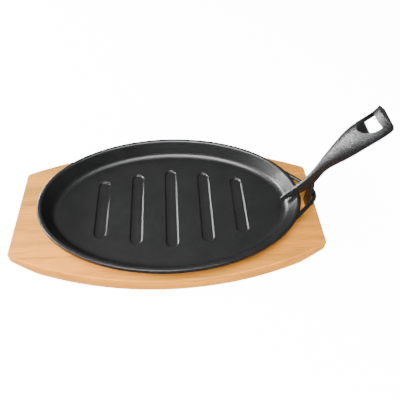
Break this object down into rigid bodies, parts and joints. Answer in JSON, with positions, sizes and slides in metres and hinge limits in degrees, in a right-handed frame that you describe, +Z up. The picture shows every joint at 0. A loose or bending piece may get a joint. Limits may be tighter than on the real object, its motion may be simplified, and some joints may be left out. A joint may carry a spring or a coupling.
{
  "type": "sizzle platter",
  "caption": "Oval cast-iron sizzle plate with a looped ear, resting in a bowed wooden serving board, with a loose lift handle hooked over its rim.",
  "frame": {"origin": "centre of the serving board's underside", "axes": "+X along the board's length, towards the plate's ear and the handle; +Z up; the XZ plane is the plane of symmetry"},
  "size_m": [0.363, 0.181, 0.1449],
  "materials": {
    "serving_board": "sealed pale hardwood with lengthwise grain, glued from strips",
    "sizzle_plate": "seasoned sand-cast iron, black, slightly mottled and satin",
    "lift_handle": "sand-cast iron, rough and matt, lighter than the plate"
  },
  "bodies": {
    "root": {"serving_board": "serving_board", "sizzle_plate": "sizzle_plate", "lift_handle": "lift_handle"}
  },
  "joints": []
}
